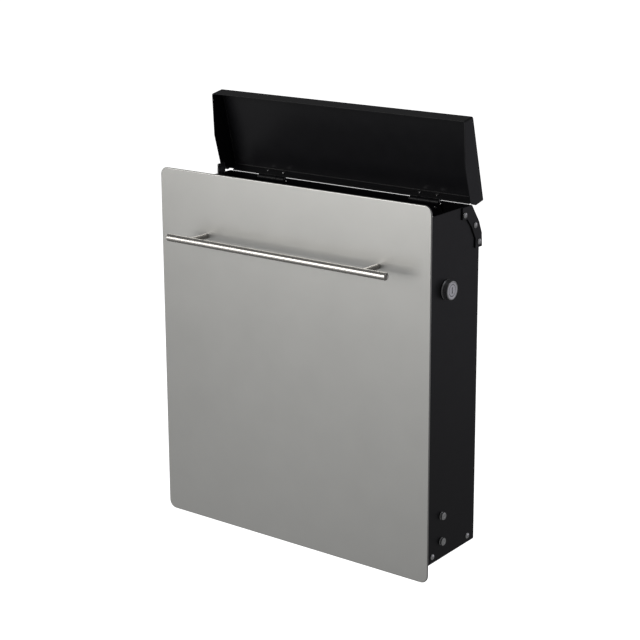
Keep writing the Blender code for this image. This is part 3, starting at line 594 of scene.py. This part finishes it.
def key_slot():
    """The keyway's outline, narrow at its middle."""
    wide = 0.55 * MM
    narrow = 0.3 * MM
    reach = 3.3 * MM
    points = [
        (-wide, -reach), (wide, -reach), (wide, -0.6 * MM), (narrow, -0.2 * MM),
        (narrow, 1.2 * MM), (wide, 1.6 * MM), (wide, reach), (-wide, reach),
    ]
    return eased(points, 0.2 * MM, 2)


def build_lock_cylinder(plug):
    """The cylinder that turns: a front disc cut through by the keyway, and a stem for the cam."""
    low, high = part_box("lock_plug")
    centre = middle("lock_housing")
    keyway_depth = 4 * MM
    disc_place = Matrix.Translation((high.x - keyway_depth, centre.y, centre.z)) @ ON_SIDE
    disc = sheet("keyed_face", [circle((0, 0), plug, 64), key_slot()], keyway_depth, disc_place, 0.22 * MM)
    length = high.x - keyway_depth - low.x
    radius = plug - 0.02 * MM
    tail_hole = 2.3 * MM
    tail_depth = 8 * MM
    profile = [
        (0, length), (radius, length), (radius, 0.4 * MM), (plug - 0.4 * MM, 0),
        (tail_hole, 0), (tail_hole, tail_depth), (0, tail_depth),
    ]
    stem = turned("stem", profile, pointing((low.x, centre.y, centre.z), RIGHT), 64)
    piece("lock_cylinder", [disc, stem], "polished_chrome", "lock", ["lock_plug"], satin_chrome())


def build_lock():
    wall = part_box("side_wall_right")[1].x
    low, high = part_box("lock_plug")
    plug = (high.z - low.z) / 2
    build_lock_body(wall, plug, high.x - wall)
    build_lock_cylinder(plug)


def build_side_walls():
    """The side walls, cut off at their rear top corner, with holes for the pins and the lock."""
    cut_down = 22.6 * MM
    cut_back = 16.7 * MM
    corner = 1.2 * MM
    pin_hole = 2.8 * MM
    lock_hole = 8.8 * MM
    for side in SIDES:
        node = f"side_wall_{side}"
        low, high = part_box(node)
        outline = [
            (low.y, low.z), (high.y, low.z), (high.y, high.z - cut_down),
            (high.y - cut_back, high.z), (low.y, high.z),
        ]
        pins = [middle(f"{kind}_pin_{side}") for kind in ("pivot", "stop")]
        holes = [circle((pin.y, pin.z), pin_hole) for pin in pins]
        if side == "right":
            lock = middle("lock_housing")
            holes.append(circle((lock.y, lock.z), lock_hole, 64))
        place = Matrix.Translation((low.x, 0, 0)) @ ON_SIDE
        outlines = [eased(outline, corner, 4), *holes]
        wall = sheet(node, outlines, high.x - low.x, place, sizes().sheet_edge)
        piece(f"box_side_{side}", [wall], "black_powder_coat", "box", [node])


def build_pop_rivet(name, node, side):
    """A pop rivet's domed flange with the hole its mandrel left, and its shank."""
    low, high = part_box(node)
    centre = (low + high) / 2
    head = (high.z - low.z) / 2
    height = 2.3 * MM
    dome_foot = height - 2 * MM
    dome_rise = 1.75 * MM
    shank = 1.6 * MM
    tail = height - (high.x - low.x)
    turns = [radians(degrees) for degrees in (28, 40, 52, 64, 76, 86)]
    dome = [(head * sin(a), dome_foot + dome_rise * cos(a)) for a in turns]
    top = dome[0][1]
    profile = [
        (0, SEAT_GAP), (0.85 * MM, 0.35 * MM), (1.0 * MM, top - 0.35 * MM), (1.25 * MM, top + 0.05 * MM),
        *dome, (head, 0.36 * MM), (head - 0.1 * MM, SEAT_GAP),
        (shank, SEAT_GAP), (shank, tail), (0, tail),
    ]
    place = pointing((seat(side, node, height), centre.y, centre.z), outward(side))
    piece(name, [turned(name, profile, place, 36)], "polished_chrome", "box", [node])


def build_side_rivets():
    for side in SIDES:
        for place in ("front", "rear", "top"):
            build_pop_rivet(f"wall_rivet_{place}_{side}", f"side_rivet_{place}_{side}", side)
        for place in ("upper", "lower"):
            build_pop_rivet(f"hanger_rivet_{place}_{side}", f"ear_rivet_{place}_{side}", side)


def build_pin(kind, side):
    """A shouldered pin: a washer, a dark groove, a cheese head with a dimple, and a shank."""
    node = f"{kind}_pin_{side}"
    low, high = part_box(node)
    centre = (low + high) / 2
    head = (high.z - low.z) / 2
    top = 4.3 * MM
    tail = top - (high.x - low.x)
    groove = head * 0.72
    ease = 0.2 * MM
    shank = 2.5 * MM
    shank_ease = 0.3 * MM
    profile = [
        (0, top - 0.5 * MM), (head * 0.42, top - 0.45 * MM), (head * 0.5, top - 0.05 * MM),
        (head * 0.62, top), (head * 0.86, top - 0.12 * MM), (head, top - 0.75 * MM),
        (head, 2.3 * MM), (head - ease, 2.1 * MM), (groove, 2.05 * MM),
        (groove, 1.35 * MM), (head - ease, 1.3 * MM), (head, 1.1 * MM),
        (head, 0.5 * MM), (head - ease, SEAT_GAP), (shank, SEAT_GAP),
        (shank, tail + shank_ease), (shank - shank_ease, tail), (0, tail),
    ]
    place = pointing((seat(side, node, top), centre.y, centre.z), outward(side))
    piece(f"{kind}_stud_{side}", [turned(node, profile, place, 48)], "polished_chrome", "box", [node])


def build_pins():
    for side in SIDES:
        for kind in ("pivot", "stop"):
            build_pin(kind, side)


def lid_place():
    """Where the open lid's local frame stands.

    Local X runs from the lid's rear corner to its front, local Y is its inner depth and local Z is
    along +X.
    """
    joint = next(j for j in frame["joints"] if j["name"] == "lid_hinge")
    hinge = Vector(joint["pos_m"])
    open_angle = radians(joint["range_deg"][1])
    shut_rear = -22.9 * MM
    shut_top = 201 * MM
    shut = Matrix(((0, 0, 1, 0), (-1, 0, 0, shut_rear), (0, -1, 0, shut_top), (0, 0, 0, 1)))
    swing = Matrix.Translation(hinge) @ Matrix.Rotation(-open_angle, 4, "X") @ Matrix.Translation(-hinge)
    return swing @ shut


def build_lid():
    """The lid's pan: a top, two lips and two side flanges folded from one sheet."""
    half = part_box("lid_pan")[1].x
    long = 93.4 * MM
    front_lip = 17.3 * MM
    front_lean = 1.2 * MM
    rear_lip = 16 * MM
    rear_lean = 0.7 * MM
    notch_from_middle = 158.3 * MM
    notch_top = 12.2 * MM
    notch_lean = rear_lean * notch_top / rear_lip
    flange = [
        (0, 0), (long, 0), (long + front_lean, front_lip), (47.6 * MM, 26.7 * MM),
        (8.2 * MM, 25.7 * MM), (5 * MM, 23.5 * MM), (rear_lean, rear_lip),
    ]
    notched_lip = [
        (notch_lean, notch_top, -half), (notch_lean, notch_top, -notch_from_middle),
        (rear_lean, rear_lip, -notch_from_middle), (rear_lean, rear_lip, notch_from_middle),
        (notch_lean, notch_top, notch_from_middle), (notch_lean, notch_top, half),
    ]
    form = bmesh.new()
    left = [form.verts.new((u, v, -half)) for u, v in flange]
    right = [form.verts.new((u, v, half)) for u, v in flange]
    form.faces.new(left)
    form.faces.new(right)
    form.faces.new([left[0], left[1], right[1], right[0]])
    form.faces.new([left[1], left[2], right[2], right[1]])
    step = [form.verts.new(point) for point in notched_lip]
    form.faces.new([left[0], *step, right[0]])
    bmesh.ops.recalc_face_normals(form, faces=form.faces)
    folds = [e for e in form.edges if len(e.link_faces) == 2]
    bmesh.ops.bevel(form, geom=folds, offset=sizes().fold, segments=5, profile=0.5, affect="EDGES",
                    clamp_overlap=True)
    mesh = bpy.data.meshes.new("lid_tray")
    form.to_mesh(mesh)
    form.free()
    mesh = settled(mesh, lid_place())
    made = piece("lid_tray", [mesh], "black_powder_coat", "lid", ["lid_pan"], folded=True)
    wall = made.modifiers.new("Sheet", "SOLIDIFY")
    wall.thickness = LID_SHEET
    wall.offset = -1
    wall.use_even_offset = True
    edge = made.modifiers.new("Cut edge", "BEVEL")
    edge.width = 0.3 * MM
    edge.segments = 2
    edge.limit_method = "ANGLE"
    edge.angle_limit = radians(50)
    keep_flats_flat(made)


def slot_of(node):
    parts = frame["record"]["subparts"]
    return next(part["material_slot"] for part in parts if part["node"] == node)


def dress_carried_over():
    """Gives every CAD node that still shows its finish, a welded mesh and eased edges."""
    for node, made in frame["nodes"].items():
        if made.hide_render:
            continue
        made.data.materials.clear()
        made.data.materials.append(finish_for(slot_of(node)))
        weld = made.modifiers.new("Joined seams", "WELD")
        weld.merge_threshold = 0.004 * MM
        ease = made.modifiers.new("Eased edges", "BEVEL")
        ease.width = sizes().metal_edge
        ease.segments = 2
        ease.limit_method = "ANGLE"
        ease.angle_limit = radians(40)
        ease.harden_normals = True


# Studio

def build_camera(studio):
    lens = bpy.data.cameras.new("camera")
    lens.lens = studio.camera_lens
    lens.sensor_width = 36
    lens.shift_y = studio.camera_shift
    camera = bpy.data.objects.new("camera", lens)
    turn = Matrix.Rotation(studio.camera_turn, 4, "Z")
    dip = Matrix.Rotation(pi / 2 - studio.camera_dip, 4, "X")
    roll = Matrix.Rotation(studio.camera_roll, 4, "Z")
    camera.matrix_world = Matrix.Translation(studio.camera_place) @ turn @ dip @ roll
    bpy.context.scene.collection.objects.link(camera)
    bpy.context.scene.camera = camera


def soft_light(name, place, size, power, colour):
    lamp = bpy.data.lights.new(name, "AREA")
    lamp.shape = "RECTANGLE"
    lamp.size, lamp.size_y = size
    lamp.energy = power
    lamp.color = colour
    made = bpy.data.objects.new(name, lamp)
    made.matrix_world = pointing(place, Vector(place) - LIGHTS_AIM)
    bpy.context.scene.collection.objects.link(made)


def build_floor(studio):
    """A plain pale floor that is seen but adds no light of its own to the mailbox."""
    finish = Finish("pale_floor", 0.0, 0.8, 0.1)
    finish.shader.inputs["Base Color"].default_value = (0.9, 0.9, 0.9, 1)
    finish.shader.inputs["Emission Color"].default_value = (1, 1, 1, 1)
    finish.shader.inputs["Emission Strength"].default_value = 1.0
    low = FRAME_BOX[0][2] - studio.floor_below
    place = Matrix.Translation((0, 0, low))
    form = bmesh.new()
    bmesh.ops.create_grid(form, x_segments=2, y_segments=2, size=FLOOR_HALF, matrix=place)
    mesh = bpy.data.meshes.new("floor")
    form.to_mesh(mesh)
    form.free()
    mesh.materials.append(finish.material)
    floor = bpy.data.objects.new("floor", mesh)
    bpy.context.scene.collection.objects.link(floor)
    floor.visible_glossy = False
    floor.visible_diffuse = False


def build_world():
    world = bpy.data.worlds.new("studio")
    bpy.context.scene.world = world
    world.use_nodes = True
    back = world.node_tree.nodes["Background"]
    back.inputs["Color"].default_value = (1, 1, 1, 1)
    back.inputs["Strength"].default_value = WORLD_STRENGTH


def build_stage():
    studio = bpy.context.scene.mailbox_studio
    build_world()
    build_floor(studio)
    build_camera(studio)
    for light in LIGHTS:
        soft_light(*light)
    view = bpy.context.scene.view_settings
    view.view_transform = "Standard"
    view.look = "None"


# Operators, panel and registration

class BuildStage(Operator):
    """Makes the floor, the lights and the camera"""
    bl_idname = "mailbox.build_stage"
    bl_label = "Studio"

    def execute(self, context):
        build_stage()
        return {"FINISHED"}


class BuildFrontPanel(Operator):
    """Makes the satin silver front panel with its eased edge"""
    bl_idname = "mailbox.build_front_panel"
    bl_label = "Front panel"

    def execute(self, context):
        build_front_panel()
        return {"FINISHED"}


class BuildHandle(Operator):
    """Makes the handle bar and its two stems"""
    bl_idname = "mailbox.build_handle"
    bl_label = "Handle"

    def execute(self, context):
        build_handle()
        return {"FINISHED"}


class BuildLock(Operator):
    """Makes the lock's chrome body and its keyed cylinder"""
    bl_idname = "mailbox.build_lock"
    bl_label = "Lock"

    def execute(self, context):
        build_lock()
        return {"FINISHED"}


class BuildSideWalls(Operator):
    """Makes the two side walls of the box"""
    bl_idname = "mailbox.build_side_walls"
    bl_label = "Side walls"

    def execute(self, context):
        build_side_walls()
        return {"FINISHED"}


class BuildSideRivets(Operator):
    """Makes the pop rivets in the side walls and hangers"""
    bl_idname = "mailbox.build_side_rivets"
    bl_label = "Side rivets"

    def execute(self, context):
        build_side_rivets()
        return {"FINISHED"}


class BuildPins(Operator):
    """Makes the door's pivot and stop pins"""
    bl_idname = "mailbox.build_pins"
    bl_label = "Door pins"

    def execute(self, context):
        build_pins()
        return {"FINISHED"}


class BuildLid(Operator):
    """Makes the lid's folded pan"""
    bl_idname = "mailbox.build_lid"
    bl_label = "Lid"

    def execute(self, context):
        build_lid()
        return {"FINISHED"}


class DressCarriedOver(Operator):
    """Gives the remaining metal parts their finish and eased edges"""
    bl_idname = "mailbox.dress_carried_over"
    bl_label = "Other metal parts"

    def execute(self, context):
        dress_carried_over()
        return {"FINISHED"}


BUILDERS = (BuildStage, BuildFrontPanel, BuildHandle, BuildLock, BuildSideWalls, BuildSideRivets, BuildPins,
            BuildLid, DressCarriedOver)
SETTINGS = {
    "mailbox_sizes": MailboxSizes,
    "mailbox_colours": MailboxColours,
    "mailbox_studio": MailboxStudio,
}


class MailboxPanel(Panel):
    """Lists the sizes, the colours and the builders"""
    bl_idname = "VIEW3D_PT_mailbox"
    bl_label = "Wall Mailbox"
    bl_space_type = "VIEW_3D"
    bl_region_type = "UI"
    bl_category = "Mailbox"

    def draw(self, context):
        for name, group in SETTINGS.items():
            box = self.layout.box()
            for key in group.__annotations__:
                box.prop(getattr(context.scene, name), key)
        for builder in BUILDERS:
            self.layout.operator(builder.bl_idname)


def register():
    for group in SETTINGS.values():
        bpy.utils.register_class(group)
    for name, group in SETTINGS.items():
        setattr(bpy.types.Scene, name, PointerProperty(type=group))
    for kind in (*BUILDERS, MailboxPanel):
        bpy.utils.register_class(kind)


def unregister():
    for kind in (MailboxPanel, *reversed(BUILDERS)):
        bpy.utils.unregister_class(kind)
    for name, group in SETTINGS.items():
        delattr(bpy.types.Scene, name)
        bpy.utils.unregister_class(group)


def main():
    register()
    bpy.ops.mailbox.build_stage()
    bpy.ops.mailbox.build_front_panel()
    bpy.ops.mailbox.build_handle()
    bpy.ops.mailbox.build_lock()
    bpy.ops.mailbox.build_side_walls()
    bpy.ops.mailbox.build_side_rivets()
    bpy.ops.mailbox.build_pins()
    bpy.ops.mailbox.build_lid()
    bpy.ops.mailbox.dress_carried_over()


if __name__ == "__main__":
    main()
